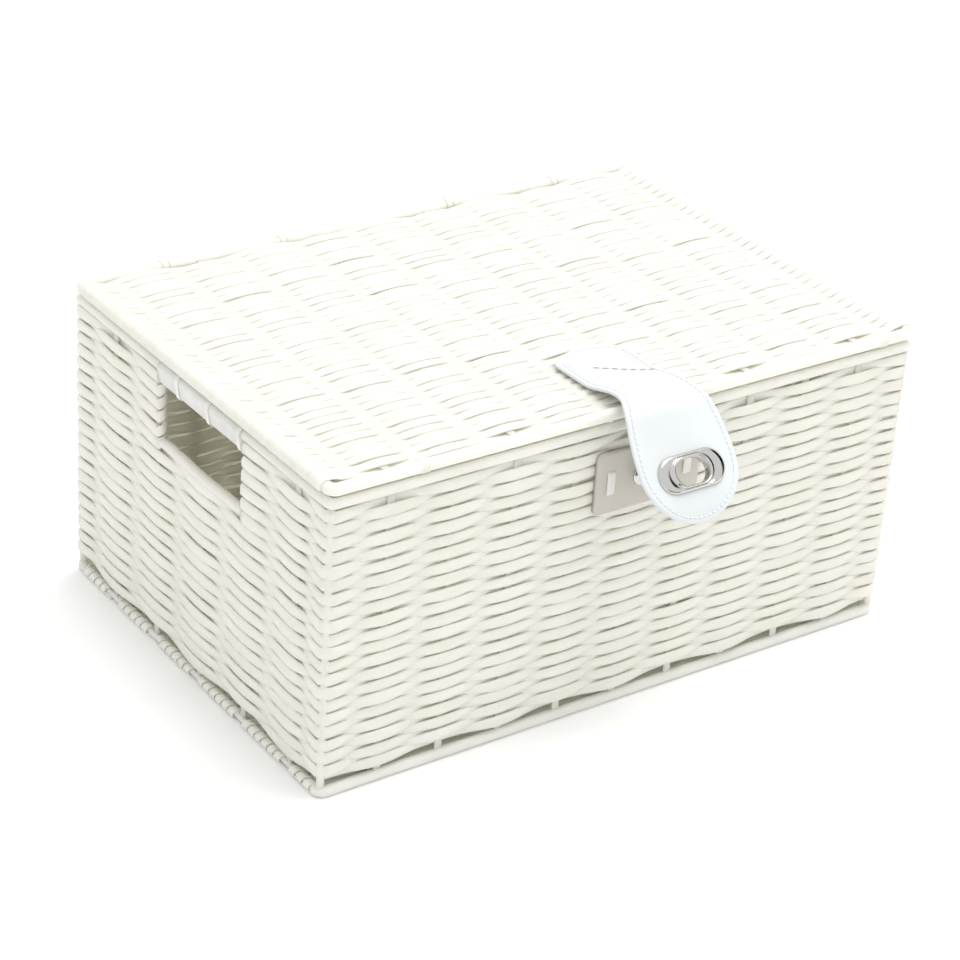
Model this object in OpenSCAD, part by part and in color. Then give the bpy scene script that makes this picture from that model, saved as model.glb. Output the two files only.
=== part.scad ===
// Woven resin storage trunk with a hinged lid, hand openings and a turn-button strap.
// Origin: middle of the footprint, on the surface the trunk stands on.
// X runs along the long side, the clasp is on the -Y side, Z is up. Millimetres.

/* [Overall] */
// Outside length over the rims
trunk_l = 400; // [340:5:520]
// Outside depth over the rims
trunk_w = 280; // [240:5:380]
// Height of the closed lid's rim above the floor
trunk_h = 193; // [165:1:260]
// Outside radius of the base wire and the walls at the four corners
corner_r = 7.5; // [7:0.5:12]

/* [Rims] */
// Diameter of the covered wire round the lid
lid_rim_d = 7; // [6:0.5:9]
// Diameter of the covered wire round the mouth of the basket
top_rim_d = 6; // [5:0.5:8]
// Diameter of the covered wire round the base
base_rim_d = 6.5; // [5.5:0.5:8]
// Diameter of the bare wire inside the wraps on the short sides of the base
end_wire_d = 3.4; // [2.5:0.1:4]
// How far the base wire is pressed flat where it stands on the floor
base_flat = 0.1; // [0.05:0.05:0.3]
// Space between the lid rim and the basket rim, filled by the ties
lid_gap = 1.4; // [1.3:0.1:2.5]

/* [Weave] */
// Thickness of a woven wall, from outer to inner strand
wall_t = 6.2; // [5.4:0.2:7]
// How far the weave stands back from the outside of the rims
weave_inset = 0.5; // [0.3:0.1:1]
// Open gap between the basket rim and the first row
top_gap = 3.2; // [2:0.2:5]
// Open gap between the base wire and the last row
base_gap = 4.2; // [3:0.2:6]
// Thickness of the woven lid panel
lid_panel_t = 5.4; // [4.4:0.2:6]
// How far the lid panel lies below the top of its rim
lid_panel_drop = 0.5; // [0.2:0.1:1]
// Open gap between the lid panel and its front and rear rims
lid_edge_gap = 2.3; // [2.2:0.1:4]
// Thickness of the woven base panel
base_panel_t = 4.4; // [3.6:0.2:5]

/* [Stakes] */
// Width of the flat stakes that the strands are woven round
stake_w = 4.6; // [3.6:0.2:5.4]
// Thickness of the flat stakes
stake_t = 1.6; // [1:0.1:2]
// Diameter of the round corner posts
post_d = 4.5; // [4:0.1:5]
// Number of bays between stakes on a long side
long_bays = 10; // [8:2:12]
// Distance between the stakes of a short side
side_pitch = 49.5; // [40:0.5:52]
// How far the stakes of the short sides sit towards the front
side_shift = 6.5; // [0:0.5:8]

/* [Hand openings] */
// Height of the weave that is left out for a hand opening
hand_cut = 45; // [38:1:60]
// Thickness of the strand that turns back round the stake at each side
jamb_t = 2; // [1.5:0.1:3]
// Diameter of the wrapped bar along the bottom of the opening
bar_d = 6; // [5:0.5:8]
// Height of the flat grip band under the basket rim
grip_h = 7; // [6:0.5:12]
// Thickness of the grip band
grip_t = 4.6; // [3.5:0.1:5]
// Distance between the ties that hold the grip band
tie_pitch = 33; // [28:1:36]
// Thickness of a tie
tie_t = 1.1; // [0.8:0.1:1.2]
// Width of a tie
tie_w = 4; // [3:0.5:6]

/* [Hinge ties] */
// Thickness of the loops that hold the lid
loop_t = 1.3; // [1:0.1:1.5]
// Width of the loops that hold the lid
loop_w = 9; // [6:0.5:12]
// Running clearance between a loop and the lid rim
loop_clear = 0.3; // [0.2:0.05:0.4]

/* [Strap] */
// Distance of the clasp from the middle of the front, towards the right
clasp_x = 7; // [-10:0.5:10]
// Thickness of the leather strap
strap_t = 2.4; // [1.8:0.1:3]
// Width of the strap where it is sewn to the lid
root_w = 49; // [40:1:60]
// Width of the strap where it leaves the lid
neck_w = 46; // [38:1:56]
// Width of the round end that carries the eyelet
head_w = 65; // [56:1:72]
// Radius of the rounded rear end of the strap
root_end_r = 35; // [31:1:60]
// Length of strap that lies flat on the lid
root_flat = 35; // [26:1:45]
// Slope at which the strap rises off the lid
rise_angle = 16; // [8:1:20]
// Length of strap between the crown and the eyelet
reach = 52; // [44:1:60]
// Slope of the unlatched strap in front of the wall
hang_angle = 50; // [40:1:60]

/* [Turn lock] */
// Length of the oval eyelet
eyelet_l = 44; // [38:1:50]
// Height of the oval eyelet
eyelet_h = 21; // [19:1:26]
// Length of the hole in the eyelet
hole_l = 22; // [21:0.5:26]
// Height of the hole in the eyelet
hole_h = 14.5; // [13.5:0.5:17]
// Length of the turn knob
knob_l = 19.5; // [18:0.5:21]
// Width of the turn knob
knob_w = 8.6; // [7:0.2:9]
// Thickness of the turn knob's head
knob_t = 3.5; // [2.5:0.5:5]
// Diameter of the turn knob's shaft
shaft_d = 5; // [4:0.1:5.5]
// Radial running clearance of the shaft
shaft_clear = 0.06; // [0.03:0.01:0.1]
// Width of the leather patch behind the knob
patch_w = 72; // [66:1:84]
// Height of the leather patch
patch_h = 38; // [34:1:44]
// Thickness of the leather patch
patch_t = 2.2; // [1.8:0.1:2.6]

/* [Hidden] */
$fn = 48;

tiny = 0.01;
big = 1000;
fit = 0.1;             // clearance of a stake or prong in its channel
half_l = trunk_l / 2;
half_w = trunk_w / 2;

// Heights, from the lid down
lid_rim_z = trunk_h - lid_rim_d / 2;
top_rim_z = trunk_h - lid_rim_d - lid_gap - top_rim_d / 2;
top_rim_low = top_rim_z - top_rim_d / 2;
weave_top = top_rim_low - top_gap;
base_ring_z = base_rim_d / 2 - base_flat;
weave_low = base_ring_z + base_rim_d / 2 + base_gap;
hand_z = weave_top - hand_cut;
bar_z = hand_z + bar_d / 2 + 0.2;
grip_low = top_rim_low - grip_h;
lid_panel_z = trunk_h - lid_panel_drop - lid_panel_t / 2;
base_panel_z = base_panel_t / 2;   // the woven base touches the floor

// The middle plane of the walls, as a distance from the outside of the rims
wall_mid = weave_inset + wall_t / 2;
wall_in = weave_inset + wall_t;
post_in = corner_r - (corner_r - top_rim_d / 2) / sqrt(2);

// Stakes
long_pitch = trunk_l / long_bays;
long_xs = [for (i = [1 : long_bays - 1]) -half_l + i * long_pitch];
side_ys = [for (i = [-2 : 2]) -side_shift - i * side_pitch];
hand_rear_y = side_ys[1] - stake_w / 2 - jamb_t;
hand_front_y = side_ys[3] + stake_w / 2 + jamb_t;
hand_mid_y = (hand_rear_y + hand_front_y) / 2;
rim_bend = 0.5;         // the rims turn their corners this much wider than the rod itself
wrap_gap = stake_w + 4 * fit;      // bare wire left at each stake

// Grip band ties, set towards the front of the opening
tie_ys = [for (i = [2, 1, 0]) hand_front_y + 2 * fit + tie_w / 2 + i * tie_pitch];
tie_clear = 0.05;

// Hinge loops sit midway between stakes
loop_bays = [1, 3, long_bays - 4, long_bays - 2];
loop_xs = [for (b = loop_bays) -half_l + (b + 0.5) * long_pitch];
binding_w = 6;
binding_t = 0.3;
binding_xs = [half_l - 24, -half_l + 60];

// The strap's middle line, in a plane across the front: u is outwards, v is up
// from the top of the lid rim. Each run is [length, slope at its end]; the slope
// changes evenly along a run, so every run is an arc or a straight line.
crown_run = 14;
shoulder_run = 20;
tail_curl = 22;
root_runs = [[root_flat, 0], [10, rise_angle], [8, rise_angle], [crown_run, 0]];
head_up = 4;           // the round end's centre is this far above the eyelet's
flap_runs = [[shoulder_run, -hang_angle], [reach - shoulder_run + eyelet_h / 2, -hang_angle],
             [head_w / 2 - head_up - eyelet_h / 2, -hang_angle - tail_curl]];
strap_v0 = strap_t / 2 - lid_panel_drop;
strap_rear_u = -69;
run_steps = 8;

// Points [u, v, slope] along a list of runs, starting from p
function run_points(p, length, slope1) =
    [for (i = [1 : run_steps])
        let (ds = length / run_steps)
        let (turn = (slope1 - p[2]) / run_steps)
        let (slopes = [for (k = [1 : i]) p[2] + (k - 0.5) * turn])
        [p[0] + ds * total([for (a = slopes) cos(a)]),
         p[1] + ds * total([for (a = slopes) sin(a)]),
         p[2] + i * turn]];
function total(v, i = 0) = i < len(v) ? v[i] + total(v, i + 1) : 0;
function line_points(p, runs, i = 0) =
    i >= len(runs) ? [p] :
    let (run = run_points(p, runs[i][0], runs[i][1]))
    concat([p], [for (k = [0 : run_steps - 2]) run[k]],
           line_points(run[run_steps - 1], runs, i + 1));

root_line = line_points([strap_rear_u, strap_v0, 0], root_runs);
crown = root_line[len(root_line) - 1];
flap_line = line_points(crown, flap_runs);
lock = line_points(crown, [flap_runs[0], [reach - shoulder_run, -hang_angle]])[2 * run_steps];
crown_gap = 3;         // the root stops short of the crown, where the strap flexes

// Where the eyelet's centre comes to lie when the strap hangs straight down
latch_turn = 90 - hang_angle;
latched_u = crown[0] + (lock[0] - crown[0]) * cos(latch_turn)
          + (lock[1] - crown[1]) * sin(latch_turn);
latched_v = crown[1] - (lock[0] - crown[0]) * sin(latch_turn)
          + (lock[1] - crown[1]) * cos(latch_turn);
knob_z = trunk_h + latched_v;

// The turn lock, from the wall outwards; distances are in front of the rims
patch_face = patch_t - weave_inset;
plate_t = 1;
plate_l = 22;
plate_h = 13;
collar_d = 8;
eyelet_flange = 1.4;
eyelet_ring_t = 2.4;
eyelet_back_t = 0.8;
ring_w = 2.5;          // width of the raised ring round the hole
knob_face = latched_u + strap_t / 2 + eyelet_ring_t + 0.6;
rivet_d = 7;
rivet_t = 0.8;
prong_dx = 10;
prong_w = 4;
prong_t = 0.7;
strip_dx = 26.4;
strip_w = 5.5;
strip_h = 14.5;
strip_t = 1;

white_resin = [0.95, 0.95, 0.92];
white_leather = [0.92, 0.94, 0.95];
chrome = [0.8, 0.8, 0.8];

// --- Helpers ---------------------------------------------------------------

// A closed ring of round rod lying flat; outside size l by w, corners of outside radius bend
module rod_ring(l, w, d, bend) {
    r = d / 2;
    cx = l / 2 - bend;
    cy = w / 2 - bend;
    for (sx = [-1, 1], sy = [-1, 1])
        translate([sx * cx, sy * cy, 0])
            rotate([0, 0, sx > 0 ? (sy > 0 ? 0 : 270) : (sy > 0 ? 90 : 180)])
                rotate_extrude(angle = 90)
                    translate([bend - r, 0]) circle(d = d);
    for (s = [-1, 1]) {
        translate([-cx, s * (w / 2 - r), 0]) rotate([0, 90, 0]) cylinder(d = d, h = 2 * cx);
        translate([s * (l / 2 - r), -cy, 0]) rotate([-90, 0, 0]) cylinder(d = d, h = 2 * cy);
    }
}

// Stadium outline of overall size l by h
module stadium(l, h) {
    square([l - h, h], center = true);
    for (s = [-1, 1]) translate([s * (l - h) / 2, 0]) circle(d = h);
}

// Rectangle l by h with rounded corners
module rounded(l, h, r) {
    square([l - 2 * r, h], center = true);
    square([l, h - 2 * r], center = true);
    for (sx = [-1, 1], sy = [-1, 1])
        translate([sx * (l / 2 - r), sy * (h / 2 - r)]) circle(r = r);
}

// A flat stake standing at [x, y], its broad side along X when turn is 0
module stake(x, y, turn, z0, z1, slack = 0) {
    translate([x, y, (z0 + z1) / 2]) rotate([0, 0, turn])
        cube([stake_w + 2 * slack, stake_t + 2 * slack, z1 - z0], center = true);
}

// Places a child drawn with Z outwards and Y up onto the front, at [x, z], u in front of the rims
module on_front(x, z, u) {
    translate([x, -half_w - u, z]) rotate([90, 0, 0]) children();
}

// A band of the strap: the area within t/2 of the middle line, drawn in [u, v]
module strap_section(line, t) {
    side = function(s) [for (p = line) [p[0] - s * sin(p[2]) * t / 2, p[1] + s * cos(p[2]) * t / 2]];
    upper = side(1);
    lower = side(-1);
    polygon(concat(upper, [for (i = [len(lower) - 1 : -1 : 0]) lower[i]]));
}

// Extrudes a [u, v] drawing across the width w of the strap
module across_strap(w) {
    translate([clasp_x + w / 2, -half_w, trunk_h])
        rotate([90, 0, -90]) linear_extrude(w) children();
}

// Places a child drawn with Z outwards and -Y down the strap at the eyelet's centre
module on_strap(lift = 0) {
    translate([clasp_x, -half_w - lock[0], trunk_h + lock[1]])
        rotate([hang_angle, 0, 0]) translate([0, 0, lift]) children();
}

// --- Base ------------------------------------------------------------------

module base_wires() {
    difference() {
        translate([0, 0, base_ring_z]) rod_ring(trunk_l, trunk_w, base_rim_d, corner_r);
        cube([big, trunk_w - 2 * corner_r, big], center = true);
    }
    for (s = [-1, 1])
        translate([s * (half_l - base_rim_d / 2), -half_w + corner_r - tiny, base_ring_z])
            rotate([-90, 0, 0]) cylinder(d = end_wire_d, h = trunk_w - 2 * corner_r + 2 * tiny);
}

module below_floor() {
    translate([0, 0, -big / 2]) cube(big, center = true);
}

module base_ring() {
    color(white_resin) difference() {
        base_wires();
        below_floor();
    }
}

// The base strands, wound round the end wires from stake to stake
module base_end_wraps() {
    ends = concat([half_w - corner_r + wrap_gap / 2], side_ys, [-half_w + corner_r - wrap_gap / 2]);
    color(white_resin) difference() {
        for (s = [-1, 1], i = [0 : len(ends) - 2]) {
            run = ends[i] - ends[i + 1] - wrap_gap;
            translate([s * (half_l - base_rim_d / 2), ends[i + 1] + wrap_gap / 2, base_ring_z])
                rotate([-90, 0, 0]) difference() {
                    cylinder(d = base_rim_d, h = run);
                    translate([0, 0, -1]) cylinder(d = end_wire_d, h = run + 2);
                }
        }
        below_floor();
    }
}

module base_stake_bars(slack = 0) {
    for (x = long_xs)
        translate([x, 0, base_panel_z])
            cube([stake_w + 2 * slack, trunk_w - base_rim_d, stake_t + 2 * slack], center = true);
}

module base_stakes() {
    color(white_resin) difference() {
        base_stake_bars();
        base_wires();
    }
}

module base_weave() {
    color(white_resin) difference() {
        linear_extrude(base_panel_t)
            rounded(trunk_l - 2 * base_rim_d, trunk_w - 2 * base_rim_d - 1, corner_r / 2);
        base_stake_bars(fit);
    }
}

// --- Walls -----------------------------------------------------------------

module post_bars(d, z0, z1) {
    for (sx = [-1, 1], sy = [-1, 1])
        translate([sx * (half_l - post_in), sy * (half_w - post_in), z0]) cylinder(d = d, h = z1 - z0);
}

module top_ring() {
    translate([0, 0, top_rim_z]) rod_ring(trunk_l, trunk_w, top_rim_d, top_rim_d + rim_bend);
}

module corner_posts() {
    color(white_resin) difference() {
        post_bars(post_d, base_ring_z, top_rim_z);
        base_wires();
        top_ring();
    }
}

module long_stake_bars(side, z0, z1, slack = 0) {
    for (x = long_xs) stake(x, side * (half_w - wall_mid), 0, z0, z1, slack);
}

module long_stakes(side) {
    color(white_resin) difference() {
        long_stake_bars(side, base_ring_z, top_rim_z);
        base_wires();
        top_ring();
    }
}
module front_stakes() { long_stakes(-1); }
module rear_stakes() { long_stakes(1); }

module side_stake_bars(side, z0, z1, slack = 0) {
    for (y = side_ys) stake(side * (half_l - wall_mid), y, 90, z0, z1, slack);
}

// The middle stake stops under the bar of the hand opening
module side_stakes(side) {
    color(white_resin) difference() {
        side_stake_bars(side, base_ring_z, top_rim_z);
        base_wires();
        top_ring();
        translate([side * (half_l - wall_mid), hand_mid_y, hand_z + big / 2])
            cube([3 * wall_t, hand_rear_y - hand_front_y, big], center = true);
    }
}
module left_stakes() { side_stakes(-1); }
module right_stakes() { side_stakes(1); }

// A woven wall between two heights: the part of the basket's plan inside the child
module wall(z0, z1) {
    translate([0, 0, z0]) linear_extrude(z1 - z0) intersection() {
        rounded(trunk_l - 2 * weave_inset, trunk_w - 2 * weave_inset, corner_r - weave_inset);
        children();
    }
}

// Slots through the front for the patch strips and the lock's prongs
module front_slots() {
    on_front(clasp_x, knob_z, -wall_in - 1) linear_extrude(wall_in + 1) {
        for (sx = [-1, 1], sz = [-1, 1])
            translate([sx * strip_dx, sz * (strip_h - strip_t) / 2])
                square([strip_w + 2 * fit, strip_t + 2 * fit], center = true);
        for (sx = [-1, 1])
            translate([sx * prong_dx, 0]) square([prong_t + 2 * fit, prong_w + 2 * fit], center = true);
    }
}

module long_wall(side) {
    difference() {
        wall(weave_low, weave_top)
            translate([0, side * (half_w - wall_in / 2)]) square([big, wall_in], center = true);
        long_stake_bars(side, 0, trunk_h, fit);
        post_bars(post_d + 2 * fit, 0, trunk_h);
    }
}
module front_weave() { color(white_resin) difference() { long_wall(-1); front_slots(); } }
module rear_weave() { color(white_resin) long_wall(1); }

// A short side, between the two long walls
module side_wall(side, z0, z1) {
    difference() {
        wall(z0, z1)
            translate([side * (half_l - wall_in / 2), 0])
                square([wall_in, trunk_w - 2 * wall_in], center = true);
        side_stake_bars(side, 0, trunk_h, fit);
        post_bars(post_d + 2 * fit, 0, trunk_h);
    }
}
module left_weave() { color(white_resin) side_wall(-1, weave_low, hand_z); }
module right_weave() { color(white_resin) side_wall(1, weave_low, hand_z); }

module side_wall_ends(side) {
    color(white_resin) difference() {
        side_wall(side, hand_z, weave_top);
        translate([side * half_l, hand_mid_y, trunk_h / 2])
            cube([half_l, hand_rear_y - hand_front_y, big], center = true);
    }
}
module left_weave_ends() { side_wall_ends(-1); }
module right_weave_ends() { side_wall_ends(1); }

module top_rim() { color(white_resin) top_ring(); }

// --- Hand openings ---------------------------------------------------------

module hand_bar(side) {
    color(white_resin) translate([side * (half_l - wall_mid), hand_front_y, bar_z])
        rotate([-90, 0, 0]) cylinder(d = bar_d, h = hand_rear_y - hand_front_y);
}
module left_hand_bar() { hand_bar(-1); }
module right_hand_bar() { hand_bar(1); }

module grip(side) {
    color(white_resin) difference() {
        translate([side * (half_l - top_rim_d / 2), hand_mid_y, (grip_low + top_rim_z) / 2])
            cube([grip_t, hand_rear_y - hand_front_y - 2 * fit, top_rim_z - grip_low], center = true);
        top_ring();
    }
}
module left_grip() { grip(-1); }
module right_grip() { grip(1); }

// Ties wound round the basket rim and the grip band
module grip_ties(side) {
    in_r = top_rim_d / 2 + tie_clear;
    color(white_resin) for (y = tie_ys)
        translate([side * (half_l - top_rim_d / 2), y + tie_w / 2, top_rim_z])
            rotate([90, 0, 0]) linear_extrude(tie_w) difference() {
                tie_outline(in_r + tie_t, tie_t);
                tie_outline(in_r, 0);
            }
}
module tie_outline(r, wall) {
    low = top_rim_z - grip_low + tie_clear + wall;
    circle(r = r);
    translate([-r, -low]) square([2 * r, low]);
}
module left_grip_ties() { grip_ties(-1); }
module right_grip_ties() { grip_ties(1); }

// --- Hinge ties ------------------------------------------------------------

// Each loop goes round the lid's rear rim, which turns in it, and under the basket's rear rim
module loop_outline(wall) {
    fat = max(lid_rim_d, top_rim_d);
    r = fat / 2 + loop_clear;
    slack = r - top_rim_d / 2 - 2 * tiny;
    low = top_rim_z + sqrt(slack * slack - pow((fat - top_rim_d) / 2, 2));
    translate([-fat / 2, lid_rim_z]) circle(r = r + wall);
    translate([-fat / 2, low]) circle(r = r + wall);
    translate([-fat / 2 - r - wall, low]) square([2 * (r + wall), lid_rim_z - low]);
}
module hinge_ties() {
    color(white_resin) for (x = loop_xs)
        translate([x - loop_w / 2, half_w, 0]) rotate([90, 0, 90]) linear_extrude(loop_w) difference() {
            loop_outline(loop_t);
            loop_outline(0);
        }
}

// --- Lid -------------------------------------------------------------------

module lid_ring() {
    translate([0, 0, lid_rim_z]) rod_ring(trunk_l, trunk_w, lid_rim_d, lid_rim_d + rim_bend);
}
module lid_rim() { color(white_resin) lid_ring(); }

// Short windings that cover the joints of the lid's rim
module lid_rim_bindings() {
    color(white_resin) for (x = binding_xs)
        translate([x - binding_w / 2, -half_w + lid_rim_d / 2, lid_rim_z])
            rotate([0, 90, 0]) difference() {
                cylinder(d = lid_rim_d + 2 * binding_t, h = binding_w);
                translate([0, 0, -1]) cylinder(d = lid_rim_d, h = binding_w + 2);
            }
}

module lid_stake_bars(slack = 0) {
    for (x = long_xs)
        translate([x, 0, lid_panel_z])
            cube([stake_w + 2 * slack, trunk_w - lid_rim_d, stake_t + 2 * slack], center = true);
}
module lid_stakes() {
    color(white_resin) difference() {
        lid_stake_bars();
        lid_ring();
    }
}
module lid_weave() {
    color(white_resin) difference() {
        translate([0, 0, lid_panel_z])
            cube([trunk_l - 2 * lid_rim_d, trunk_w - 2 * (lid_rim_d + lid_edge_gap), lid_panel_t],
                 center = true);
        lid_stake_bars(fit);
    }
}

// --- Strap -----------------------------------------------------------------

// Plan of the part sewn to the lid: round at the rear, a little narrower at the front edge
module strap_root() {
    rear = half_w + strap_rear_u;
    color(white_leather) intersection() {
        difference() {
            across_strap(root_w) strap_section(root_line, strap_t);
            translate([0, -half_w - big / 2 - crown[0] + crown_gap, 0]) cube(big, center = true);
        }
        translate([clasp_x, 0, 0]) linear_extrude(big) intersection() {
            translate([0, -rear - root_end_r]) circle(r = root_end_r);
            polygon([[-root_w / 2, -rear], [root_w / 2, -rear],
                     [root_w / 2, -rear - root_flat], [neck_w / 2, -half_w],
                     [-neck_w / 2, -half_w], [-root_w / 2, -rear - root_flat]]);
        }
    }
}

// Outline of the flap seen square on: a neck that widens into a round head with the eyelet's hole
module flap_outline() {
    up = reach + 10;
    difference() {
        union() {
            translate([0, head_up]) circle(d = head_w);
            polygon([[-neck_w / 2, up], [neck_w / 2, up], [neck_w / 2, reach],
                     [head_w / 2 - 1.2, 10], [-head_w / 2 + 1.2, 10], [-neck_w / 2, reach]]);
        }
        rounded(hole_l + 1, hole_h + 1, hole_h / 2 - 1);
    }
}
module strap_flap() {
    color(white_leather) {
        intersection() {
            across_strap(head_w + 4) strap_section(flap_line, strap_t);
            on_strap(-big / 2) linear_extrude(big) flap_outline();
        }
        translate([clasp_x - neck_w / 2, -half_w - crown[0], trunk_h + crown[1]])
            rotate([0, 90, 0]) cylinder(d = strap_t - 2 * fit, h = neck_w);
    }
}

module eyelet() {
    color(chrome) on_strap(strap_t / 2) difference() {
        union() {
            linear_extrude(eyelet_flange) stadium(eyelet_l, eyelet_h);
            linear_extrude(eyelet_ring_t)
                rounded(hole_l + 2 * ring_w, hole_h + 2 * ring_w, hole_h / 2 + 1);
        }
        translate([0, 0, -1]) linear_extrude(big) rounded(hole_l, hole_h, hole_h / 2 - 1.5);
    }
}

module eyelet_backplate() {
    color(chrome) on_strap(-strap_t / 2 - eyelet_back_t) linear_extrude(eyelet_back_t) difference() {
        stadium(eyelet_l - 4, eyelet_h - 2);
        rounded(hole_l + 1, hole_h + 1, hole_h / 2 - 1);
    }
}

// --- Lock on the basket ----------------------------------------------------

module clasp_patch() {
    color(white_leather) on_front(clasp_x, knob_z, -weave_inset) linear_extrude(patch_t) difference() {
        rounded(patch_w, patch_h, 3);
        circle(d = collar_d);
        for (sx = [-1, 1], sz = [-1, 1])
            translate([sx * strip_dx, sz * (strip_h - strip_t) / 2])
                square([strip_w + 2 * fit, strip_t + 2 * fit], center = true);
        for (sx = [-1, 1])
            translate([sx * prong_dx, 0]) square([prong_t + 2 * fit, prong_w + 2 * fit], center = true);
    }
}

// Strips looped through the patch and the wall
module patch_strips() {
    depth = patch_face + wall_in;
    color(white_resin) for (s = [-1, 1])
        translate([clasp_x + s * strip_dx, -half_w - patch_face + depth / 2, knob_z]) difference() {
            cube([strip_w, depth + 2 * strip_t, strip_h], center = true);
            cube([strip_w + 1, depth, strip_h - 2 * strip_t], center = true);
        }
}

module lock_plate() {
    collar_h = knob_face - patch_face - 0.2;
    prong_h = patch_face + wall_in + plate_t;
    color(chrome) on_front(clasp_x, knob_z, patch_face) {
        difference() {
            union() {
                linear_extrude(plate_t) stadium(plate_l, plate_h);
                cylinder(d = collar_d, h = collar_h);
            }
            translate([0, 0, -1]) cylinder(d = shaft_d + 2 * shaft_clear, h = collar_h + 2);
        }
        for (s = [-1, 1])
            translate([s * prong_dx, 0, -prong_h / 2])
                cube([prong_t, prong_w, prong_h], center = true);
    }
}

// The plate inside the basket that the prongs are bent over
module lock_backplate() {
    color(chrome) on_front(clasp_x, knob_z, -wall_in - plate_t) linear_extrude(plate_t) difference() {
        stadium(plate_l + 4, plate_h);
        for (s = [-1, 1])
            translate([s * prong_dx, 0]) square([prong_t + 2 * fit, prong_w + 2 * fit], center = true);
    }
}

// The knob, its shaft and the riveted end that keeps it in the plate
module turn_knob() {
    color(chrome) on_front(clasp_x, knob_z, 0) {
        translate([0, 0, knob_face]) linear_extrude(knob_t) stadium(knob_l, knob_w);
        translate([0, 0, patch_face - fit - tiny])
            cylinder(d = shaft_d, h = knob_face - patch_face + fit + 2 * tiny);
        translate([0, 0, patch_face - fit - rivet_t]) cylinder(d = rivet_d, h = rivet_t);
    }
}

base_ring();
base_end_wraps();
base_stakes();
base_weave();
corner_posts();
front_stakes();
rear_stakes();
left_stakes();
right_stakes();
front_weave();
rear_weave();
left_weave();
right_weave();
left_weave_ends();
right_weave_ends();
top_rim();
left_hand_bar();
right_hand_bar();
left_grip();
right_grip();
left_grip_ties();
right_grip_ties();
hinge_ties();
clasp_patch();
patch_strips();
lock_plate();
lock_backplate();
turn_knob();
lid_rim();
lid_rim_bindings();
lid_stakes();
lid_weave();
strap_root();
strap_flap();
eyelet();
eyelet_backplate();
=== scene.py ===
# %% [markdown]
# # A white woven resin trunk with a leather strap and a turn lock
# The trunk is plain basketry: flat plastic stakes stand in a wire frame, and long plastic strands pass in
# front of one stake and behind the next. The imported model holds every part's place and every hinge, and its
# boxes give most sizes below. Here its plain walls become woven strands, and each part gets its finish.

# %% Load the frame
import math

import bpy
import numpy as np
from mathutils import Matrix, Vector


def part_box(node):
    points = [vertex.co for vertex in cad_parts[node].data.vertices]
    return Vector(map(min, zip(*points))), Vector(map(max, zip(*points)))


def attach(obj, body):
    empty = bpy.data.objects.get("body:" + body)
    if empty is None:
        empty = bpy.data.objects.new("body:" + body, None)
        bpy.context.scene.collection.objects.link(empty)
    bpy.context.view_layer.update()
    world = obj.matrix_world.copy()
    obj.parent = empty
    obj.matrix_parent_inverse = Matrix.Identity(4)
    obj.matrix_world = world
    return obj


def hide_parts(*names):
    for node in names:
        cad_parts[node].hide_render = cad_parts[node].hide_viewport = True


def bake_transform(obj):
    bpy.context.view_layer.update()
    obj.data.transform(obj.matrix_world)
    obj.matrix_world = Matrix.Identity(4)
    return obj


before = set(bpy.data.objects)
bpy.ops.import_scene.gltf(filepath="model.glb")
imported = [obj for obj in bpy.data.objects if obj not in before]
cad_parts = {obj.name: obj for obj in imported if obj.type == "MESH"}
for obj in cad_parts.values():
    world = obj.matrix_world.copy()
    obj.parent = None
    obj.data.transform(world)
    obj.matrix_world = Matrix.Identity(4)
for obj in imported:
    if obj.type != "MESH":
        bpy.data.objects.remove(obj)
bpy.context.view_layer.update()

MM = 0.001

# %% [markdown]
# ## The camera
# A long lens far away keeps the trunk's edges nearly parallel, as in a catalogue picture. The camera is
# placed on a ball round a point inside the trunk by its azimuth and elevation, and then rolled a little about
# its own line of sight. Its rotation is written as three perpendicular directions, which is easier to check
# than angles.

# %% Camera
CAMERA_AZIMUTH = math.radians(-36.6)
CAMERA_ELEVATION = math.radians(28.38)
CAMERA_ROLL = math.radians(4.12)
CAMERA_DISTANCE = 1683 * MM
LENS, SENSOR = 106.6, 36.0
LOOK_RIGHT, LOOK_DOWN = 0.0020902, 0.0103042   # how far the aim is off the trunk's middle, as slopes

lid_low, lid_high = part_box("lid_rim")
middle = Vector((0, 0, lid_high.z / 2))
back = Vector((math.sin(CAMERA_AZIMUTH) * math.cos(CAMERA_ELEVATION),
               -math.cos(CAMERA_AZIMUTH) * math.cos(CAMERA_ELEVATION),
               math.sin(CAMERA_ELEVATION)))
level = Vector((math.cos(CAMERA_AZIMUTH), math.sin(CAMERA_AZIMUTH), 0))
right = (math.cos(CAMERA_ROLL) * level + math.sin(CAMERA_ROLL) * back.cross(level)).normalized()
up = back.cross(right)
aim = (back + LOOK_RIGHT * right + LOOK_DOWN * up).normalized()
right = up.cross(aim).normalized()
up = aim.cross(right)
camera_data = bpy.data.cameras.new("camera")
camera_data.lens, camera_data.sensor_width = LENS, SENSOR
camera_data.clip_end = 20   # metres, past the floor's far edge
camera = bpy.data.objects.new("camera", camera_data)
bpy.context.scene.collection.objects.link(camera)
turn = Matrix((right, up, aim)).transposed()
camera.matrix_world = Matrix.Translation(middle + back * CAMERA_DISTANCE) @ turn.to_4x4()
bpy.context.scene.camera = camera
print("camera at", [round(v, 3) for v in camera.matrix_world.translation])

# %% [markdown]
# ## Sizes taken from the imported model
# Each box gives the outside of a part. The rims give the trunk's plan, and the walls give the height and the
# thickness that the strands have to fill.

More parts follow.
